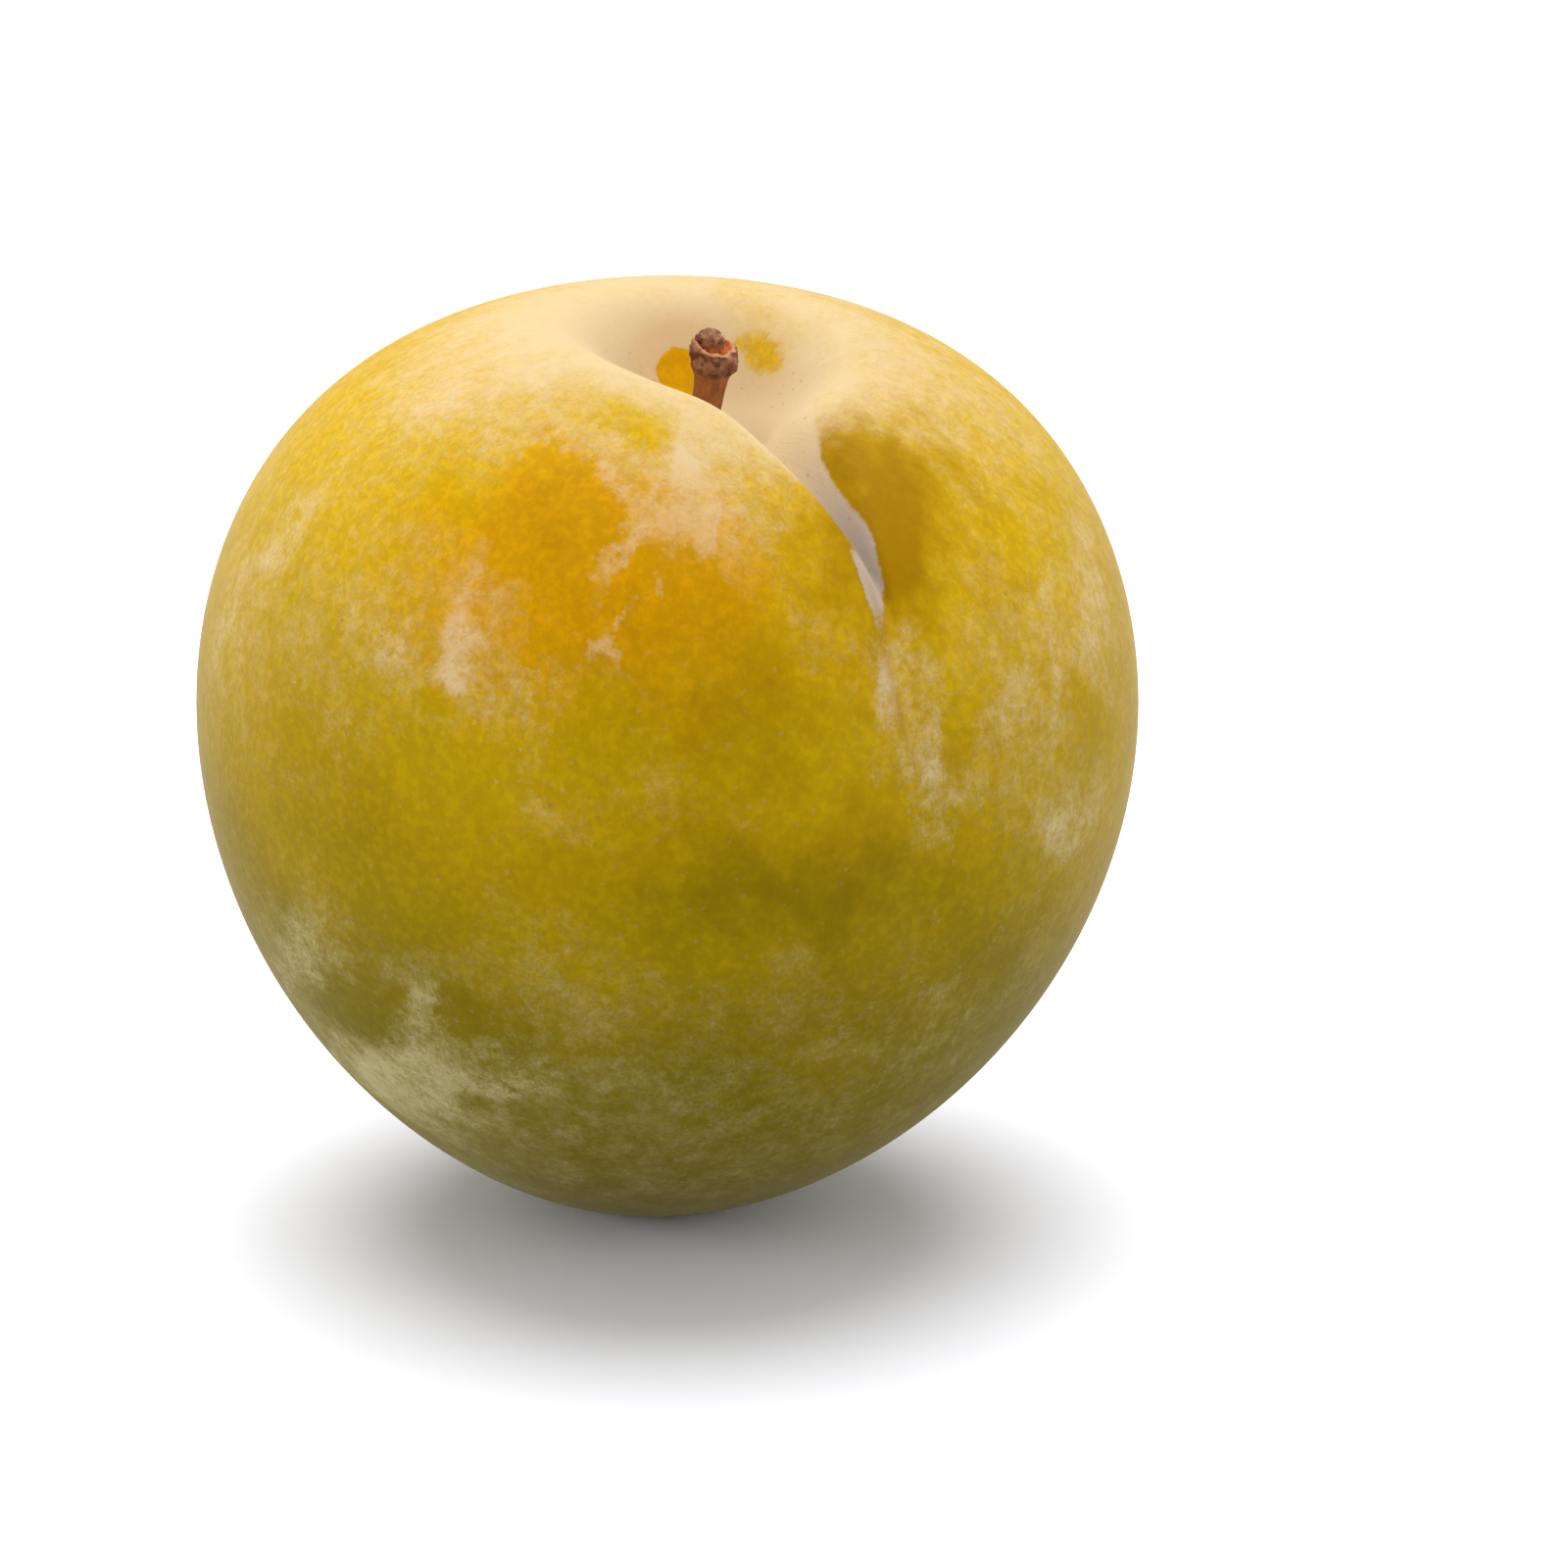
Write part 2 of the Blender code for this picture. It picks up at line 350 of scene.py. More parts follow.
def finished_piece(name, bm, node):
    """The mesh as a piece of the object, standing for its plain solid."""
    mesh = bpy.data.meshes.new(name)
    bmesh.ops.recalc_face_normals(bm, faces=bm.faces[:])
    bm.to_mesh(mesh)
    bm.free()
    mesh.shade_smooth()
    piece = bpy.data.objects.new(name, mesh)
    bpy.context.scene.collection.objects.link(piece)
    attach(piece, "root")
    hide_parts(node)
    return piece


def patch_frame(side, reach):
    """A patch's centre in mm and the unit directions round, along and out of the fruit there."""
    side, reach, step = math.radians(side), math.radians(reach), 0.02
    around = np.array((-math.sin(side), math.cos(side), 0.0))
    along = fruit_points(side, reach + step) - fruit_points(side, reach - step)
    along = along / np.linalg.norm(along)
    return fruit_points(side, reach) / MM, around, along, np.cross(along, around)


def wavered(points, reach):
    """The points moved about in waves, so that patches get uneven outlines."""
    moved = points.copy()
    away_from_stalk = 1.0 - fade(reach, *WAVES_START)
    for length, far in WAVES:
        turned = points @ WAVE_TURN.T * (2 * math.pi / (length * MM))
        wave = far * MM * np.sin(turned + np.roll(turned, 1, axis=1) * WAVE_MIXING)
        moved += wave * away_from_stalk[:, None]
    return moved


def patch_field(points, patches, depth=6.0, edge=1.6):
    """A patch's strength in its middle, half of it at its edge and 0 away from it."""
    field = np.zeros(len(points))
    for side, reach, long, short, turn, strength in patches:
        centre, around, along, outward = patch_frame(side, reach)
        cos, sin = math.cos(math.radians(turn)), math.sin(math.radians(turn))
        away = points / MM - centre
        u = away @ (around * cos + along * sin) / long
        v = away @ (along * cos - around * sin) / short
        w = away @ outward / depth
        field = np.maximum(field, strength / (1.0 + (u * u + v * v + w * w) ** edge))
    return field


def groove_wall(forward, across, reach):
    """1 on the pale wall of the groove, up to its right crest, and 0 outside it."""
    crest = np.interp(forward / MM, CREST_FORWARD, CREST_ACROSS)
    right = 1.0 - fade(crest - across / MM, *CREST_EDGE)
    depth = groove_depth(forward, across, reach) / GROOVE_DEPTH
    left = 1.0 - fade(depth, *WALL_LEFT_DEPTH)
    tail = (1.0 - fade(across / MM, *TAIL_ACROSS)) * (1.0 - fade(reach, *TAIL_REACH))
    left = WALL_LEFT_STRENGTH * np.maximum(left, tail * right)
    wall = np.where(across > groove_floor(reach), right, left)
    return wall * fade(reach, *WALL_END) * (1.0 - fade(forward / MM, *WALL_START))


def painted_lip_highlight(forward, across, reach):
    """1 along the left edge of the groove: a painted highlight, drawn as the thickest bloom."""
    depth = groove_depth(forward, across, reach) / GROOVE_DEPTH
    return np.where(across < groove_floor(reach), 1.0 - fade(depth, *LIP_HIGHLIGHT_DEPTH), 0.0)


def seam_line(across, reach, aside, width):
    """1 on a thin line beside the seam, below the groove."""
    at = np.interp(reach, SEAM_REACH, SEAM_ACROSS) + aside
    along = fade(reach, *SEAM_END) * (1.0 - fade(reach, *SEAM_START))
    return bell(across / MM - at, width) * along


def combed_field(across, reach):
    """1 below the groove and round the seam, where fine lines run lengthwise."""
    return bell(across / MM - COMBED_ACROSS, COMBED_WIDTH) * (1.0 - fade(reach, *COMBED_START))


def skin_mesh():
    """The skin, with its patches and its place round and along the fruit as attributes."""
    bm = bmesh.new()
    bmesh.ops.create_uvsphere(bm, u_segments=ROUND_STEPS, v_segments=REACH_STEPS, radius=1.0)
    mesh = bpy.data.meshes.new("skin_start")
    bm.to_mesh(mesh)
    bm.free()
    ball = np.empty(len(mesh.vertices) * 3)
    mesh.vertices.foreach_get("co", ball)
    ball = ball.reshape(-1, 3)
    side = crowded(np.arctan2(ball[:, 1], ball[:, 0]), SUTURE_CROWDING)
    reach = crowded(np.arccos(np.clip(ball[:, 2], -1.0, 1.0)), STALK_END_CROWDING)
    points = fruit_points(side, reach)
    forward, across = places(side, reach)
    degrees = np.degrees(reach)
    uneven = wavered(points, degrees)
    fields = {
        "rubbed": patch_field(uneven, RUBBED_PATCHES),
        "bloom": patch_field(uneven, BLOOM_PATCHES),
        "blush": patch_field(uneven, BLUSH_PATCHES, depth=12.0),
        "deep": patch_field(uneven, DEEP_PATCHES, depth=8.0, edge=1.1),
        "wall": groove_wall(forward, across, degrees),
        # Painted highlight along the groove's left edge
        "lip_highlight": painted_lip_highlight(forward, across, degrees),
        "seam": seam_line(across, degrees, 0.0, SEAM_WIDTH) * SEAM_STRENGTH,
        "scar": seam_line(across, degrees, SCAR_ASIDE, SCAR_WIDTH),
        "cavity": cavity_depth(forward, across) / CAVITY_DEPTH * fade(degrees, *TOP_REACH),
        "streaky": combed_field(across, degrees),
    }
    for name, field in fields.items():
        mesh.attributes.new(name, "FLOAT", "POINT").data.foreach_set("value", field)
    meridian = np.stack([np.cos(side), np.sin(side), reach / math.pi], axis=1)
    attribute = mesh.attributes.new("meridian", "FLOAT_VECTOR", "POINT")
    attribute.data.foreach_set("vector", meridian.ravel())
    to_world = np.array(fruit_frame())
    points = points @ to_world[:3, :3].T + to_world[:3, 3]
    mesh.vertices.foreach_set("co", points.ravel())
    bm = bmesh.new()
    bm.from_mesh(mesh)
    bpy.data.meshes.remove(mesh)
    cut_flat_spot(bm)
    return bm


# The stalk's outline: radius and height above the foot in mm, how corky, how torn and how
# pale it is there, and how far its middle lies aside, towards the left and the back
STALK_OUTLINE = (
    (0.85, 0.0, 0.0, 0.0, 0.0, 0.0),
    (0.86, 1.4, 0.0, 0.0, 0.0, 0.0),
    (0.88, 2.6, 0.0, 0.0, 0.0, 0.0),
    (0.91, 3.5, 0.0, 0.0, 0.0, 0.0),
    (0.95, 4.3, 0.0, 0.0, 0.0, 0.0),
    (1.00, 4.9, 0.1, 0.0, 0.0, 0.0),
    (1.08, 5.3, 0.4, 0.0, 0.0, 0.0),
    (1.21, 5.6, 0.9, 0.0, 0.0, 0.0),
    (1.32, 5.9, 1.0, 0.0, 0.0, 0.0),
    (1.37, 6.25, 1.0, 0.0, 0.0, 0.0),
    (1.36, 6.6, 1.0, 0.0, 0.0, 0.02),
    (1.30, 6.9, 1.0, 0.0, 0.2, 0.04),
    (1.21, 7.1, 0.6, 0.3, 0.8, 0.06),
    (1.11, 7.16, 0.1, 0.9, 0.7, 0.1),
    (1.02, 7.02, 0.0, 1.0, 0.1, 0.15),
    (0.93, 6.9, 0.0, 1.0, 0.0, 0.22),
    (0.84, 6.95, 0.0, 1.0, 0.0, 0.3),
    (0.80, 7.08, 0.3, 0.7, 0.1, 0.34),
    (0.80, 7.25, 0.8, 0.2, 0.1, 0.32),
    (0.80, 7.42, 1.0, 0.0, 0.1, 0.3),
    (0.72, 7.62, 1.0, 0.0, 0.2, 0.26),
    (0.54, 7.8, 1.0, 0.0, 0.3, 0.24),
    (0.26, 7.9, 1.0, 0.0, 0.3, 0.22),
)
TIP_ASIDE = Vector((-0.88, -0.46, 0.0))
STALK_SIDES = 64
STALK_RINGS_BETWEEN = 3

# How far the bark's forms stand out, and how the cup's rim slants and wavers, in mm
FIBRE_RELIEF = 0.05
LUMP_RELIEF = 0.24
GRAIN_RELIEF = 0.12
RIM_SLANT = 0.17
RIM_WAVES = 0.22


def stalk_frame():
    """The stalk's own frame, with its foot at the origin and its shaft along +Z."""
    lean = Matrix.Rotation(math.radians(STALK_LEAN_FORWARD), 4, "Y")
    lean = lean @ Matrix.Rotation(math.radians(-STALK_LEAN_ACROSS), 4, "X")
    foot = point_near_stalk(*STALK_PLACE) - Vector((0, 0, STALK_SINK - PIT_DEPTH))
    return fruit_frame() @ Matrix.Translation(foot) @ lean


def eased_outline(outline, between):
    """The outline with more rings, on a smooth curve through the given ones."""
    rows = np.array(outline)
    at = np.arange(len(rows))
    fine = np.linspace(0, len(rows) - 1, (len(rows) - 1) * between + 1)
    eased = np.stack([np.interp(fine, at, column) for column in rows.T], axis=1)
    eased[1:-1] = (eased[:-2] + 2 * eased[1:-1] + eased[2:]) / 4
    return eased


def roughened(point, cork, torn):
    """How far a point of the stalk stands proud of its smooth outline."""
    fibres = noise.noise(Vector((point.x * 3.2, point.y * 3.2, point.z * 0.35)))
    lumps = noise.noise(point * 1.3 + Vector((3.1, 0, 7.7)))
    grains = noise.noise(point * 4.2)
    rough = cork * (LUMP_RELIEF * lumps + GRAIN_RELIEF * grains) + torn * GRAIN_RELIEF * grains
    return FIBRE_RELIEF * fibres + rough


def rim_lift(round_it, weight):
    """The cup's rim stands higher on the tip's side and is uneven all round."""
    uneven = noise.noise(round_it * 1.9 + Vector((5.2, 1.1, 0.4)))
    return weight * (RIM_SLANT * round_it.dot(TIP_ASIDE) + RIM_WAVES * uneven)


def stalk_mesh():
    """The stub, ring by ring, with its finish and its smooth place as attributes."""
    rings = eased_outline(STALK_OUTLINE, STALK_RINGS_BETWEEN)
    length = rings[-1][1]
    bm = bmesh.new()
    finish = bm.verts.layers.float_vector.new("stalk_finish")
    place = bm.verts.layers.float_vector.new("stalk_place")
    lean = bm.verts.layers.float.new("aside")
    bmesh.ops.create_circle(bm, cap_ends=True, segments=STALK_SIDES, radius=rings[0][0])
    verts, face = bm.verts[:], bm.faces[:]
    for index, (radius, height, cork, torn, pale, aside) in enumerate(rings):
        if index:
            made = bmesh.ops.extrude_face_region(bm, geom=face)["geom"]
            if index > 1:
                bmesh.ops.delete(bm, geom=face, context="FACES_ONLY")
            verts = [item for item in made if isinstance(item, bmesh.types.BMVert)]
            face = [item for item in made if isinstance(item, bmesh.types.BMFace)]
        for vert in verts:
            round_it = Vector((vert.co.x, vert.co.y, 0)).normalized()
            point = round_it * radius + Vector((0, 0, height))
            point += round_it * roughened(point, cork, torn)
            point.z += rim_lift(round_it, min(torn + pale, 1.0))
            vert.co = point
            vert[finish] = Vector((cork, torn, pale))
            vert[place] = point
            vert[lean] = aside
    to_world = stalk_frame() @ Matrix.Scale(MM, 4)
    for vert in bm.verts:
        share = min(max(vert.co.z / length, 0.0), 1.0)
        vert.co.y += STALK_BOW / MM * 4 * share * (1 - share)
        vert.co += TIP_ASIDE * vert[lean]
        vert.co = to_world @ vert.co
    return bm


# Shader nodes


class Nodes:
    """Adds nodes to one node tree and joins them."""

    def __init__(self, tree):
        self.tree = tree

    def add(self, kind, **settings):
        node = self.tree.nodes.new(kind)
        for name, value in settings.items():
            setattr(node, name, value)
        return node

    def put(self, socket, value):
        """Joins a socket to another one, or sets its value. A colour has three parts."""
        if isinstance(value, bpy.types.NodeSocket):
            self.tree.links.new(value, socket)
        elif socket.type == "RGBA":
            socket.default_value = (*value, 1.0)
        else:
            socket.default_value = value

    def math(self, operation, first, second):
        node = self.add("ShaderNodeMath", operation=operation)
        self.put(node.inputs[0], first)
        self.put(node.inputs[1], second)
        return node.outputs[0]

    def times(self, first, second):
        return self.math("MULTIPLY", first, second)

    def plus(self, first, second):
        return self.math("ADD", first, second)

    def minus(self, first, second):
        return self.math("SUBTRACT", first, second)

    def greater(self, first, second):
        return self.math("MAXIMUM", first, second)

    def scaled(self, vector, factor):
        node = self.add("ShaderNodeVectorMath", operation="SCALE")
        self.put(node.inputs[0], vector)
        self.put(node.inputs["Scale"], factor)
        return node.outputs[0]

    def stretched(self, vector, factors):
        node = self.add("ShaderNodeVectorMath", operation="MULTIPLY")
        self.put(node.inputs[0], vector)
        node.inputs[1].default_value = factors
        return node.outputs[0]

    def shifted(self, vector, other):
        node = self.add("ShaderNodeVectorMath", operation="ADD")
        self.put(node.inputs[0], vector)
        self.put(node.inputs[1], other)
        return node.outputs[0]

    def noise(self, vector, scale, detail=2.0, roughness=0.5, output="Fac"):
        node = self.add("ShaderNodeTexNoise")
        self.put(node.inputs["Vector"], vector)
        self.put(node.inputs["Scale"], scale)
        self.put(node.inputs["Detail"], detail)
        self.put(node.inputs["Roughness"], roughness)
        return node.outputs[output]

    def unevenness(self, vector, scale, detail=4.0, roughness=0.65):
        """Noise that lies evenly above and below zero."""
        return self.minus(self.noise(vector, scale, detail, roughness), 0.5)

    def ramp(self, value, start, end, low=0.0, high=1.0):
        """The value as a smooth step from low at start to high at end."""
        node = self.add("ShaderNodeMapRange", interpolation_type="SMOOTHSTEP")
        self.put(node.inputs["Value"], value)
        self.put(node.inputs["From Min"], start)
        self.put(node.inputs["From Max"], end)
        self.put(node.inputs["To Min"], low)
        self.put(node.inputs["To Max"], high)
        return node.outputs["Result"]

    def blend(self, share, first, second):
        """A plain value between two others."""
        return self.plus(first, self.times(share, self.minus(second, first)))

    def mix(self, share, first, second):
        """A colour between two others, which this node has as its inputs 6 and 7."""
        node = self.add("ShaderNodeMix", data_type="RGBA", clamp_factor=True)
        self.put(node.inputs["Factor"], share)
        self.put(node.inputs[6], first)
        self.put(node.inputs[7], second)
        return node.outputs[2]

    def attribute(self, name, output="Fac"):
        return self.add("ShaderNodeAttribute", attribute_name=name).outputs[output]

    def parts(self, vector):
        node = self.add("ShaderNodeSeparateXYZ")
        self.put(node.inputs[0], vector)
        return node.outputs

    def group(self, tree, **values):
        node = self.add("ShaderNodeGroup", node_tree=tree)
        for name, value in values.items():
            self.put(node.inputs[name.replace("_", " ")], value)
        return node.outputs[0]


def new_group(name, inputs):
    """An empty node group with one mask as its output."""
    tree = bpy.data.node_groups.new(name, "ShaderNodeTree")
    for label, kind in inputs:
        tree.interface.new_socket(label, in_out="INPUT", socket_type=kind)
    tree.interface.new_socket("Mask", in_out="OUTPUT", socket_type="NodeSocketFloat")
    nodes = Nodes(tree)
    return tree, nodes, nodes.add("NodeGroupInput").outputs, nodes.add("NodeGroupOutput").inputs


def dots_group():
    """Small round dots, in a share of the places where they could be."""
    tree, nodes, given, result = new_group(
        "Dots",
        (
            ("Vector", "NodeSocketVector"),
            ("Closeness", "NodeSocketFloat"),
            ("Size", "NodeSocketFloat"),
            ("Share", "NodeSocketFloat"),
        ),
    )
    cells = nodes.add("ShaderNodeTexVoronoi")
    nodes.put(cells.inputs["Vector"], given["Vector"])
    nodes.put(cells.inputs["Scale"], given["Closeness"])
    chance = nodes.parts(cells.outputs["Color"])
    own_size = nodes.times(given["Size"], nodes.plus(0.5, chance["Y"]))
    dot = nodes.ramp(cells.outputs["Distance"], nodes.times(own_size, 0.3), own_size, 1.0, 0.0)
    shown = nodes.math("LESS_THAN", chance["X"], given["Share"])
    nodes.put(result["Mask"], nodes.times(dot, shown))
    return tree


def streaks_group():
    """Fine lines that run along a vector's third part."""
    tree, nodes, given, result = new_group(
        "Streaks",
        (
            ("Vector", "NodeSocketVector"),
            ("Fineness", "NodeSocketFloat"),
            ("Contrast", "NodeSocketFloat"),
        ),
    )
    lines = nodes.noise(given["Vector"], given["Fineness"], 4.0, 0.7)
    start = nodes.minus(0.5, given["Contrast"])
    end = nodes.plus(0.5, given["Contrast"])
    nodes.put(result["Mask"], nodes.ramp(lines, start, end))
    return tree


def shared_group(name):
    """A node group that both materials use, made once."""
    makers = {"Dots": dots_group, "Streaks": streaks_group}
    return bpy.data.node_groups.get(name) or makers[name]()


def new_material(name):
    """A material with a Principled shader and nothing joined to it yet."""
    material = bpy.data.materials.new(name)
    material.use_nodes = True
    nodes = Nodes(material.node_tree)
    return material, nodes, material.node_tree.nodes["Principled BSDF"].inputs


def bumped(nodes, shader, height, distance):
    """Gives a material a fine relief, as deep as the distance."""
    bump = nodes.add("ShaderNodeBump")
    bump.inputs["Distance"].default_value = distance
    nodes.put(bump.inputs["Height"], height)
    nodes.put(shader["Normal"], bump.outputs["Normal"])


# The skin's finish

# Here reach is a share: 0 at the stalk end and 1 at the apex. Masks run from 0 to 1 too, and
# noise has its closeness per mm

# The reach over which one colour gives way to the next
YELLOW_TO_OLIVE = (0.22, 0.48)
OLIVE_TO_GREEN = (0.40, 0.66)
DEEP_GOLD_TO_GREEN = (0.3, 0.52)
CREAM_TO_GREY_GREEN = (0.32, 0.60)
# Lower in the groove the pale bloom turns darker and greyer: painted shade
SHELTERED_TO_SHADED_GROOVE = (0.1, 0.22)

# The reach over which the bloom gets thick and then opaque towards the stalk end, partly real
# bloom and partly painted highlight from the light above, a little thicker towards the apex,
# and dotted with pores
THICK_TOP_AND_HIGHLIGHT = (0.25, 0.045)
OPAQUE_TOP_AND_HIGHLIGHT = (0.3, 0.15)
THICK_APEX = (0.55, 0.75)
PORES_START = (0.22, 0.36)

# How much the bloom's thickness changes with each of its causes
APEX_COVER = 0.06
PATCH_COVER = 0.42
# The groove's left edge gets a painted highlight, drawn as thicker bloom
LIP_HIGHLIGHT_COVER = 0.25
RUBBED_COVER = -0.95
WALL_COVER = 0.5
PORE_COVER = 0.16

# Mottling of the bloom, from broad clouds to fine grain: its closeness and its strength
MOTTLING = ((0.14, 0.6), (0.45, 0.9), (1.5, 0.65), (4.5, 0.75), (10.0, 0.45))

# How strongly the darker patches, the sheltered bloom with its painted shade lower in the groove,
# and the specks show
DEEP_STRENGTH = 0.85
SHELTER_STRENGTH = 0.8
SPECK_STRENGTH = 0.6
SCAR_STRENGTH = 0.45

# How closely the combed lines lie round the fruit and along it, and the skin's surface
LINE_CLOSENESS = (52.0, 52.0, 8.0)
BLOOM_ROUGHNESS = 0.75
SHEEN_TINT = (1.0, 0.9, 0.72)
SKIN_RELIEF = 0.03 * MM


def skin_ground(nodes, settings, place, reach, blush):
    """The flesh colour through the skin: yellow above, olive lower down, green at the apex, and
    lighter in the stalk cavity with painted light.
    """
    drift = nodes.unevenness(place, 0.09, 2.0, 0.5)
    level = nodes.plus(reach, nodes.times(drift, 0.16))
    upper = nodes.mix(nodes.ramp(level, *YELLOW_TO_OLIVE), settings.yellow, settings.olive)
    ground = nodes.mix(nodes.ramp(level, *OLIVE_TO_GREEN), upper, settings.green)
    warm = nodes.times(nodes.ramp(blush, 0.05, 0.9), settings.blush_strength)
    ground = nodes.mix(warm, ground, settings.orange)
    flecks = nodes.ramp(nodes.noise(place, 1.7, 3.0, 0.6), 0.40, 0.68)
    ground = nodes.scaled(ground, nodes.plus(0.95, nodes.times(flecks, 0.18)))
    # Painted light: the ground is made lighter in the stalk cavity, against the shade that falls
    # there
    painted_cavity_light = nodes.times(nodes.attribute("cavity"), 0.3)
    ground = nodes.scaled(ground, nodes.plus(1.0, painted_cavity_light))
    deep = nodes.plus(nodes.attribute("deep"), nodes.unevenness(place, 0.5))
    deep = nodes.times(nodes.ramp(deep, 0.0, 1.1), DEEP_STRENGTH)
    dark = nodes.ramp(reach, *DEEP_GOLD_TO_GREEN)
    return nodes.mix(deep, ground, nodes.mix(dark, settings.deep_gold, settings.green))


def skin_film(nodes, settings, reach, blush):
    """The colour of the bloom: cream above, pinkish on the blush, grey-green below."""
    upper = nodes.mix(nodes.ramp(blush, 0.3, 0.9), settings.cream, settings.pink)
    return nodes.mix(nodes.ramp(reach, *CREAM_TO_GREY_GREEN), upper, settings.grey_green)


def ragged(nodes, field, uneven, strength, start, end):
    """A smooth step across a soft field, at an edge that noise makes ragged."""
    return nodes.ramp(nodes.plus(field, nodes.times(uneven, strength)), start, end)


def skin_cover(nodes, settings, blush, bent, reach, pale):
    """How thick the bloom lies: painted patches, crisper on the blush, broken up by mottling.

    Round the stalk end the thick bloom is partly painted highlight; along the groove's left
    edge it is painted highlight.
    """
    rubbed, bloom = nodes.attribute("rubbed"), nodes.attribute("bloom")
    crisp = nodes.ramp(blush, 0.1, 0.5, 0.2, 1.0)
    chipped = ragged(nodes, rubbed, nodes.unevenness(bent, 1.1), 0.7, 0.38, 0.62)
    rubbed = nodes.blend(nodes.times(crisp, 0.6), rubbed, chipped)
    broken = ragged(nodes, bloom, nodes.unevenness(bent, 0.9), 0.8, 0.3, 0.6)
    bloom = nodes.blend(nodes.times(crisp, 0.5), bloom, broken)
    # Towards the stalk end the bloom thickens: partly real bloom, partly painted highlight
    topness = nodes.ramp(reach, *THICK_TOP_AND_HIGHLIGHT)
    cover = nodes.plus(settings.bloom_amount, nodes.times(topness, settings.top_bloom_and_highlight))
    for cause, amount in (
        (nodes.ramp(reach, *THICK_APEX), APEX_COVER),
        (bloom, PATCH_COVER),
        # Painted highlight along the groove's left edge, drawn as thicker bloom
        (nodes.attribute("lip_highlight"), LIP_HIGHLIGHT_COVER),
        (nodes.times(rubbed, nodes.minus(1.0, pale)), RUBBED_COVER),
        (pale, WALL_COVER),
    ):
        cover = nodes.plus(cover, nodes.times(cause, amount))
    mottled = nodes.minus(1.0, nodes.times(topness, 0.6))
    for closeness, strength in MOTTLING:
        uneven = nodes.times(nodes.unevenness(bent, closeness), strength)
        cover = nodes.plus(cover, nodes.times(uneven, mottled))
    return nodes.math("POWER", nodes.ramp(cover, 0.03, 0.95), 1.3)


def skin_specks(nodes, dots, place, sheltered):
    """Tiny dark specks, closer together where it is sheltered, and the scar by the seam."""
    specks = nodes.group(dots, Vector=place, Closeness=0.35, Size=0.07, Share=0.22)
    fine = nodes.group(dots, Vector=place, Closeness=1.7, Size=0.2, Share=0.55)
    specks = nodes.greater(specks, nodes.times(fine, nodes.times(sheltered, 0.7)))
    return nodes.greater(specks, nodes.times(nodes.attribute("scar"), SCAR_STRENGTH))


def skin_material(settings, dots, streaks):
    """The skin: its flesh colour under a film of bloom, the pale groove darkened lower down with
    painted shade, pores and specks.
    """
    material, nodes, shader = new_material("Plum_Skin")
    coordinates = nodes.add("ShaderNodeTexCoord").outputs["Object"]
    place = nodes.scaled(coordinates, 1.0 / MM)
    meridian = nodes.attribute("meridian", "Vector")
    reach = nodes.parts(meridian)["Z"]
    blush = nodes.attribute("blush")
    wall = ragged(nodes, nodes.attribute("wall"), nodes.unevenness(place, 2.2), 0.35, 0.1, 0.95)
    wall = nodes.greater(wall, nodes.attribute("seam"))
    bowl = nodes.ramp(nodes.attribute("cavity"), 0.1, 0.5)
    swirl = nodes.noise(place, 0.8, 2.0, 0.5, "Color")
    bent = nodes.shifted(place, nodes.scaled(swirl, 0.6))
    lengthwise = nodes.stretched(meridian, LINE_CLOSENESS)
    brushed = nodes.group(streaks, Vector=lengthwise, Fineness=1.0, Contrast=0.22)

    ground = skin_ground(nodes, settings, place, reach, blush)
    film = skin_film(nodes, settings, reach, blush)
    cover = skin_cover(nodes, settings, blush, bent, reach, wall)
    streaky = nodes.plus(0.05, nodes.times(nodes.attribute("streaky"), 0.2))
    combed = nodes.times(nodes.minus(brushed, 0.5), streaky)
    cover = nodes.plus(cover, nodes.times(combed, nodes.ramp(cover, 0.0, 0.25)))
    pores = nodes.group(dots, Vector=place, Closeness=1.15, Size=0.2, Share=0.7)
    pores = nodes.times(pores, nodes.ramp(reach, *PORES_START))
    cover = nodes.greater(nodes.plus(cover, nodes.times(pores, PORE_COVER)), 0.0)
    # Opaque bloom round the stalk end is partly painted highlight from the light above
    thick = nodes.ramp(nodes.attribute("bloom"), 0.1, 0.6)
    thick = nodes.greater(thick, nodes.ramp(reach, *OPAQUE_TOP_AND_HIGHLIGHT))
    opacity = nodes.times(nodes.plus(0.6, nodes.times(thick, 0.4)), settings.bloom_opacity)
    colour = nodes.mix(nodes.times(cover, opacity), ground, film)
    sheltered = nodes.greater(wall, nodes.times(bowl, 0.75))
    sheltered = nodes.times(sheltered, nodes.ramp(cover, 0.05, 0.5))
    # Lower in the groove the bloom colour is darkened with painted shade
    inner = nodes.ramp(reach, *SHELTERED_TO_SHADED_GROOVE)
    inner = nodes.mix(inner, settings.sheltered, settings.groove)
    colour = nodes.mix(nodes.times(sheltered, SHELTER_STRENGTH), colour, inner)
    specks = skin_specks(nodes, dots, place, sheltered)
    colour = nodes.mix(nodes.times(specks, SPECK_STRENGTH), colour, settings.speck)
    roughness = nodes.ramp(cover, 0.0, 0.6, settings.rubbed_roughness, BLOOM_ROUGHNESS)
    nodes.put(shader["Base Color"], colour)
    nodes.put(shader["Roughness"], roughness)
    shader["Specular IOR Level"].default_value = 0.02
    shader["Sheen Weight"].default_value = settings.sheen
    shader["Sheen Roughness"].default_value = 0.35
    shader["Sheen Tint"].default_value = (*SHEEN_TINT, 1.0)
    speckle = nodes.noise(place, 2.6, 3.0, 0.6)
    height = nodes.plus(nodes.times(speckle, 0.5), nodes.plus(nodes.times(brushed, 0.3), pores))
    bumped(nodes, shader, height, SKIN_RELIEF)
    return material


# The stalk's finish

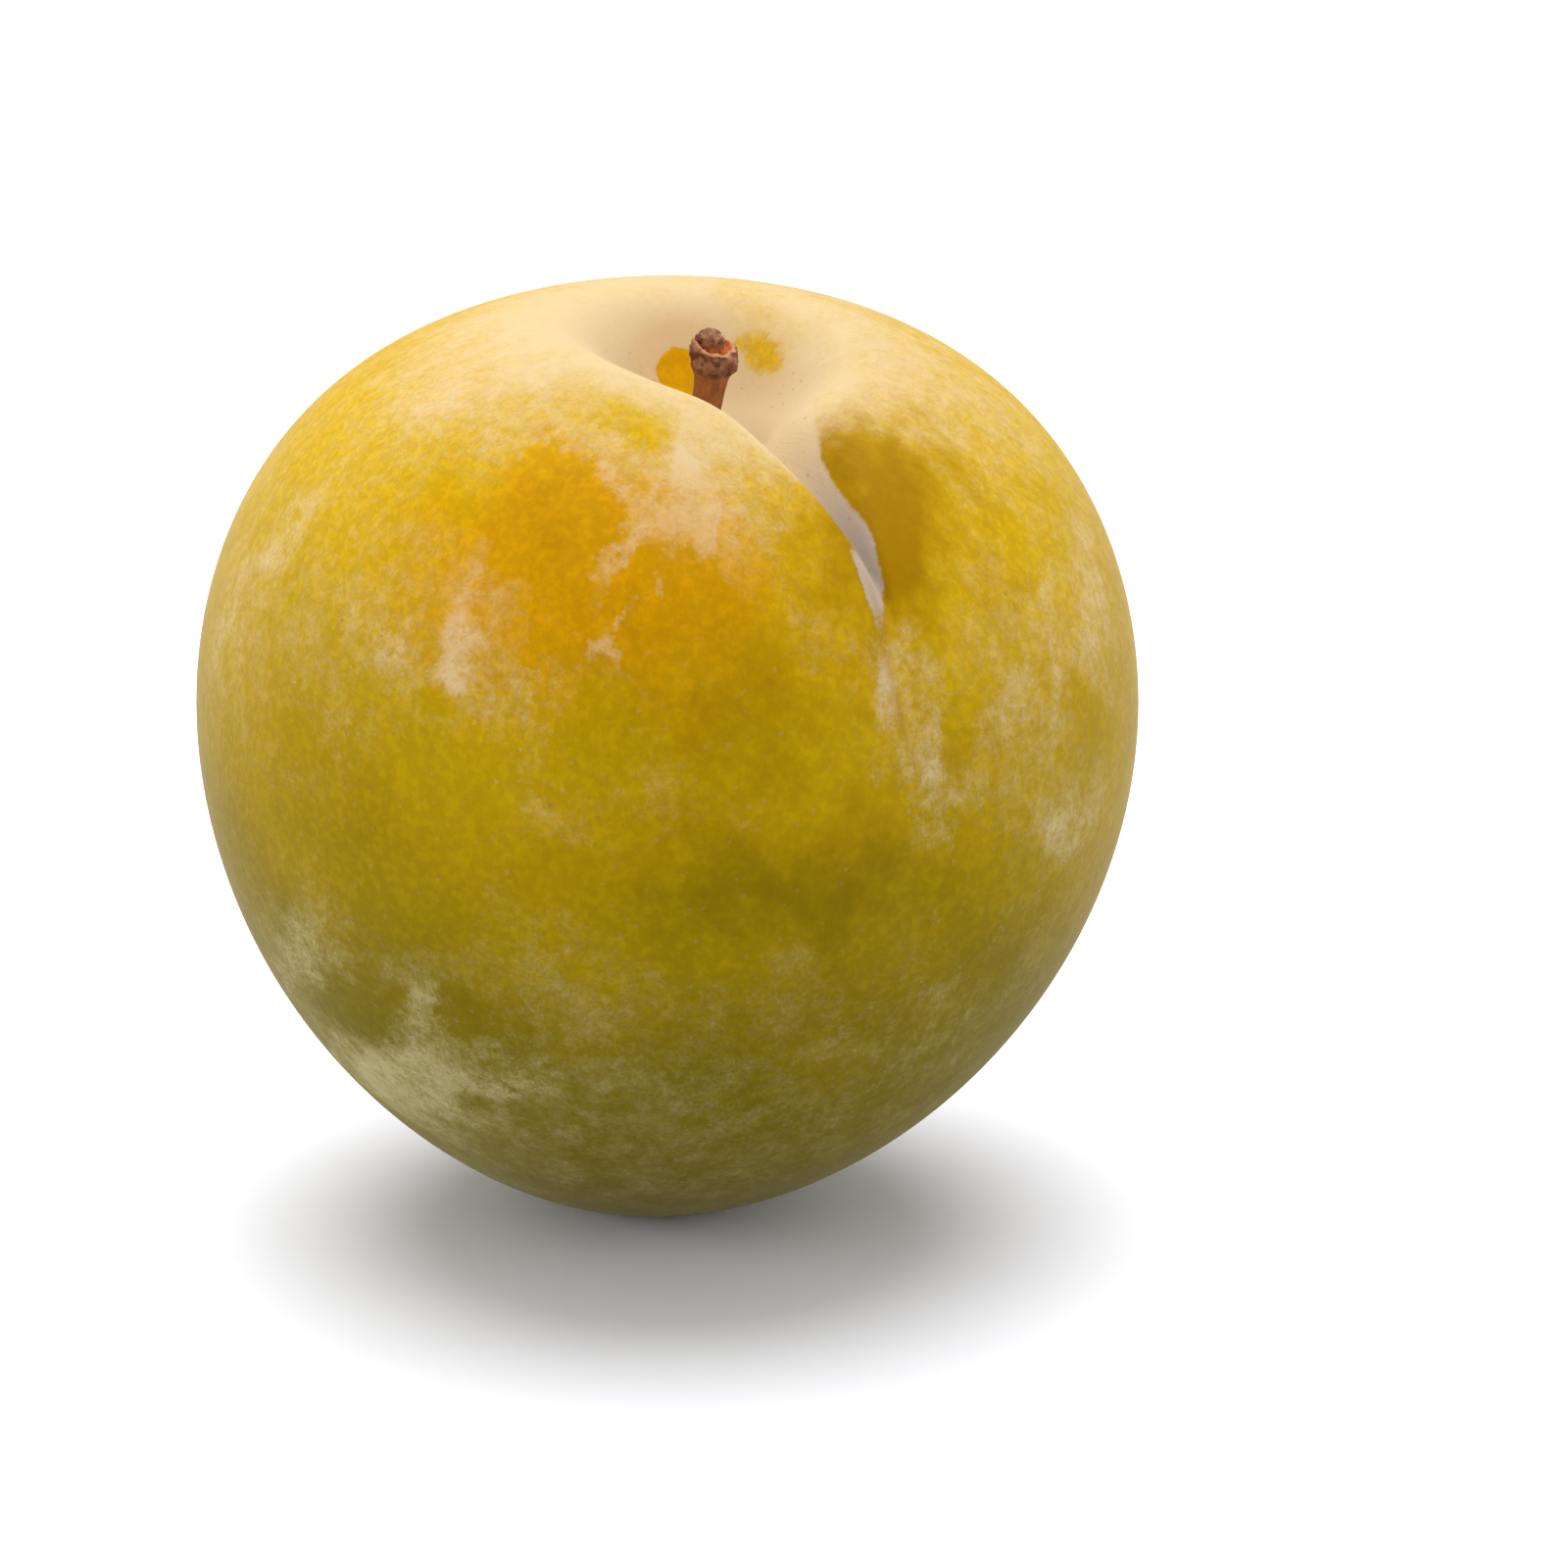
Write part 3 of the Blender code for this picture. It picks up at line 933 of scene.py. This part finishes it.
# How closely the fibres lie across the shaft and along it, and how deep the bark's relief is
FIBRE_CLOSENESS = (3.4, 3.4, 0.4)
BARK_RELIEF = 0.08 * MM


def ragged_middle(nodes, field, place, closeness):
    """1 where a soft field, broken up by noise, passes its middle."""
    return ragged(nodes, field, nodes.unevenness(place, closeness, 3.0, 0.6), 0.7, 0.3, 0.7)


def stalk_material(settings, dots, streaks):
    """The stalk: a fibrous shaft, a corky joint, torn wood in the cup and a pale rim."""
    material, nodes, shader = new_material("Stalk_Bark")
    place = nodes.attribute("stalk_place", "Vector")
    finish = nodes.parts(nodes.attribute("stalk_finish", "Vector"))
    lengthwise = nodes.stretched(place, FIBRE_CLOSENESS)
    fibres = nodes.group(streaks, Vector=lengthwise, Fineness=1.4, Contrast=0.25)
    patchy = nodes.noise(place, 1.6, 4.0, 0.65)
    shaft = nodes.mix(fibres, settings.bark_dark, settings.bark)
    warm = nodes.times(nodes.ramp(patchy, 0.42, 0.68), 0.6)
    shaft = nodes.mix(warm, shaft, settings.bark_warm)
    cork = nodes.mix(nodes.ramp(patchy, 0.36, 0.62), settings.cork_dark, settings.cork)
    pits = nodes.group(dots, Vector=place, Closeness=2.4, Size=0.5, Share=0.5)
    cork = nodes.mix(nodes.times(pits, 0.6), cork, settings.cork_dark)
    colour = nodes.mix(ragged_middle(nodes, finish["X"], place, 1.6), shaft, cork)
    torn = nodes.mix(fibres, settings.torn_dark, settings.torn)
    colour = nodes.mix(ragged_middle(nodes, finish["Y"], place, 2.0), colour, torn)
    pale = nodes.times(ragged(nodes, finish["Z"], patchy, 0.4, 0.5, 1.1), 0.8)
    colour = nodes.mix(pale, colour, settings.rim)
    nodes.put(shader["Base Color"], colour)
    shader["Roughness"].default_value = 0.8
    shader["Specular IOR Level"].default_value = 0.3
    grains = nodes.noise(place, 6.0, 4.0, 0.65)
    height = nodes.plus(nodes.times(fibres, 0.6), nodes.times(grains, nodes.plus(0.4, finish["X"])))
    bumped(nodes, shader, height, BARK_RELIEF)
    return material


# The stage

# The lights: name, place and breadth in metres, and how many times its setting's power each
# one has
LIGHT_TARGET = Vector((0, 0, 0.03))
KEY_LIGHTS = (("key_light", (-0.01, 0.14, 0.66), 0.85, 1.0),)
FILL_LIGHTS = (
    ("fill_light", (-0.35, -0.60, 0.45), 0.5, 0.25),
    ("left_light", (-0.66, -0.08, 0.08), 0.4, 2.2),
    ("right_light", (0.65, -0.16, 0.16), 0.4, 0.95),
)


def add_area_light(name, place, size, power):
    """A round soft lamp, which shines on the middle of the fruit."""
    data = bpy.data.lights.new(name, "AREA")
    data.shape = "DISK"
    data.size = size
    data.energy = power
    light = bpy.data.objects.new(name, data)
    light.location = place
    aim = LIGHT_TARGET - Vector(place)
    light.rotation_euler = aim.to_track_quat("-Z", "Y").to_euler()
    bpy.context.scene.collection.objects.link(light)


def add_floor(settings):
    bm = bmesh.new()
    bmesh.ops.create_grid(bm, x_segments=1, y_segments=1, size=settings.floor_size / 2)
    mesh = bpy.data.meshes.new("stage_floor")
    bm.to_mesh(mesh)
    bm.free()
    floor = bpy.data.objects.new("stage_floor", mesh)
    bpy.context.scene.collection.objects.link(floor)
    material, _, shader = new_material("Pale_Floor")
    shader["Base Color"].default_value = (*settings.floor_colour, 1.0)
    shader["Roughness"].default_value = 0.9
    mesh.materials.append(material)


def add_world(settings):
    world = bpy.data.worlds.new("Soft_Room")
    world.use_nodes = True
    back = world.node_tree.nodes["Background"]
    back.inputs["Color"].default_value = (1.0, 1.0, 1.0, 1.0)
    back.inputs["Strength"].default_value = settings.room_light
    bpy.context.scene.world = world


def add_camera():
    """The camera, placed and turned by the photograph's frame."""
    data = bpy.data.cameras.new("photo_camera")
    data.lens = CAMERA_LENS
    data.clip_start = 0.01
    data.clip_end = 20
    camera = bpy.data.objects.new("photo_camera", data)
    angle = math.radians(CAMERA_ELEVATION)
    back = Vector((0, -math.cos(angle), math.sin(angle)))
    up = Vector((0, math.sin(angle), math.cos(angle)))
    centre = Vector(CENTRE)
    camera.location = centre + back * CAMERA_DISTANCE
    aim = centre + Vector((1, 0, 0)) * AIM_RIGHT + up * AIM_UP - camera.location
    camera.rotation_euler = aim.to_track_quat("-Z", "Y").to_euler()
    bpy.context.scene.collection.objects.link(camera)
    bpy.context.scene.camera = camera


# Settings that a user would change


def colour_property(name, description, default):
    return bpy.props.FloatVectorProperty(
        name=name, description=description, default=default, subtype="COLOR", min=0.0, max=1.0
    )


def share_property(name, description, default):
    return bpy.props.FloatProperty(
        name=name, description=description, default=default, subtype="FACTOR", min=0.0, max=1.0
    )


def power_property(name, description, default):
    return bpy.props.FloatProperty(
        name=name, description=description, default=default, unit="POWER", min=0.0
    )


class PlumSkinSettings(bpy.types.PropertyGroup):
    """The skin's colours and bloom"""

    yellow: colour_property("Yellow", "Skin of the upper half", (0.47, 0.29, 0.002))
    olive: colour_property("Olive", "Skin round the middle", (0.295, 0.19, 0.0))
    green: colour_property("Green", "Skin round the apex", (0.12, 0.09, 0.0))
    orange: colour_property("Orange", "Ripest skin, on the rubbed cheek", (0.49, 0.215, 0.0))
    cream: colour_property("Cream bloom", "Bloom on the upper half", (0.58, 0.45, 0.285))
    pink: colour_property("Pink bloom", "Bloom on the blush", (0.57, 0.385, 0.19))
    grey_green: colour_property("Grey-green bloom", "Bloom round the apex", (0.39, 0.34, 0.17))
    sheltered: colour_property("Sheltered bloom", "Bloom in the groove", (0.59, 0.44, 0.26))
    deep_gold: colour_property("Deep gold", "Darkest bare skin", (0.25, 0.12, 0.0))
    # Groove bloom: the pale bloom darkened with painted shade, lower down in the groove
    groove: colour_property("Groove bloom", "Bloom lower down in the groove", (0.37, 0.31, 0.275))
    speck: colour_property("Speck", "Tiny dark specks", (0.24, 0.12, 0.03))
    bloom_amount: share_property("Bloom", "How much bloom covers the skin", 0.28)
    # Top bloom is partly real bloom and partly painted highlight from the light above
    top_bloom_and_highlight: share_property("Top bloom", "More bloom round the stalk end", 0.7)
    bloom_opacity: share_property("Bloom opacity", "How much of the skin bloom hides", 0.8)
    blush_strength: share_property("Blush", "How orange the front cheek is", 0.75)
    rubbed_roughness: share_property("Rubbed roughness", "Roughness of the bare skin", 0.5)
    sheen: share_property("Sheen", "Soft glow of the bloom at the edges", 0.1)


class PlumStalkSettings(bpy.types.PropertyGroup):
    """The stalk's colours"""

    bark: colour_property("Bark", "Lighter bark of the shaft", (0.36, 0.145, 0.05))
    bark_dark: colour_property("Dark bark", "Darker lines of the shaft", (0.22, 0.075, 0.025))
    bark_warm: colour_property("Warm bark", "Orange-brown patches of the shaft", (0.45, 0.17, 0.05))
    cork: colour_property("Cork", "Corky skin of the joint", (0.37, 0.165, 0.08))
    cork_dark: colour_property("Dark cork", "Dark patches of the joint", (0.11, 0.04, 0.018))
    torn: colour_property("Torn wood", "Orange wood where the stalk parted", (0.60, 0.16, 0.03))
    torn_dark: colour_property("Dark torn wood", "Red-brown wood in the cup", (0.32, 0.06, 0.02))
    rim: colour_property("Rim", "Pale edge of the cup", (0.55, 0.27, 0.13))


class PlumStageSettings(bpy.types.PropertyGroup):
    """The floor and the lights"""

    floor_size: bpy.props.FloatProperty(
        name="Floor size",
        description="Side of the square floor",
        default=6.0,
        unit="LENGTH",
        min=0.5,
    )
    floor_colour: colour_property("Floor", "Colour of the floor", (0.93, 0.94, 0.99))
    key_power: power_property("Key light", "Power of the light above", 6.9)
    fill_power: power_property("Fill light", "Power of the lights in front and beside", 1.0)
    room_light: share_property("Room light", "Light from all round", 0.57)


# Operators


class PLUM_OT_make_fruit(bpy.types.Operator):
    """Makes the fruit's skin with its bloom, its rubbed patches and its pores"""

    bl_idname = "plum.make_fruit"
    bl_label = "Make Fruit"
    bl_options = {"REGISTER", "UNDO"}

    def execute(self, context):
        piece = finished_piece("fruit_skin", skin_mesh(), "fruit")
        dots, streaks = shared_group("Dots"), shared_group("Streaks")
        piece.data.materials.append(skin_material(context.scene.plum_skin, dots, streaks))
        return {"FINISHED"}


class PLUM_OT_make_stalk(bpy.types.Operator):
    """Makes the stub of the stalk, with its corky joint and torn cup"""

    bl_idname = "plum.make_stalk"
    bl_label = "Make Stalk"
    bl_options = {"REGISTER", "UNDO"}

    def execute(self, context):
        piece = finished_piece("stalk_stub", stalk_mesh(), "stalk")
        dots, streaks = shared_group("Dots"), shared_group("Streaks")
        piece.data.materials.append(stalk_material(context.scene.plum_stalk, dots, streaks))
        return {"FINISHED"}


class PLUM_OT_make_stage(bpy.types.Operator):
    """Makes the pale floor, the soft lights and the camera"""

    bl_idname = "plum.make_stage"
    bl_label = "Make Stage"
    bl_options = {"REGISTER", "UNDO"}

    def execute(self, context):
        settings = context.scene.plum_stage
        add_floor(settings)
        add_world(settings)
        for lights, power in (
            (KEY_LIGHTS, settings.key_power),
            (FILL_LIGHTS, settings.fill_power),
        ):
            for name, place, size, share in lights:
                add_area_light(name, place, size, share * power)
        add_camera()
        context.scene.view_settings.view_transform = "Standard"
        return {"FINISHED"}


class PLUM_PT_panel(bpy.types.Panel):
    """Lists the plum's operators and settings"""

    bl_idname = "PLUM_PT_panel"
    bl_label = "Golden Plum"
    bl_space_type = "VIEW_3D"
    bl_region_type = "UI"
    bl_category = "Plum"

    def draw(self, context):
        layout = self.layout
        for operator, settings in (
            ("plum.make_fruit", context.scene.plum_skin),
            ("plum.make_stalk", context.scene.plum_stalk),
            ("plum.make_stage", context.scene.plum_stage),
        ):
            box = layout.box()
            box.operator(operator)
            for name in settings.__annotations__:
                box.prop(settings, name)


CLASSES = (
    PlumSkinSettings,
    PlumStalkSettings,
    PlumStageSettings,
    PLUM_OT_make_fruit,
    PLUM_OT_make_stalk,
    PLUM_OT_make_stage,
    PLUM_PT_panel,
)


def register():
    for cls in CLASSES:
        bpy.utils.register_class(cls)
    bpy.types.Scene.plum_skin = bpy.props.PointerProperty(type=PlumSkinSettings)
    bpy.types.Scene.plum_stalk = bpy.props.PointerProperty(type=PlumStalkSettings)
    bpy.types.Scene.plum_stage = bpy.props.PointerProperty(type=PlumStageSettings)


def unregister():
    del bpy.types.Scene.plum_skin
    del bpy.types.Scene.plum_stalk
    del bpy.types.Scene.plum_stage
    for cls in reversed(CLASSES):
        bpy.utils.unregister_class(cls)


def main():
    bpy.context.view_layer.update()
    register()
    bpy.ops.plum.make_fruit()
    bpy.ops.plum.make_stalk()
    bpy.ops.plum.make_stage()


if __name__ == "__main__":
    main()
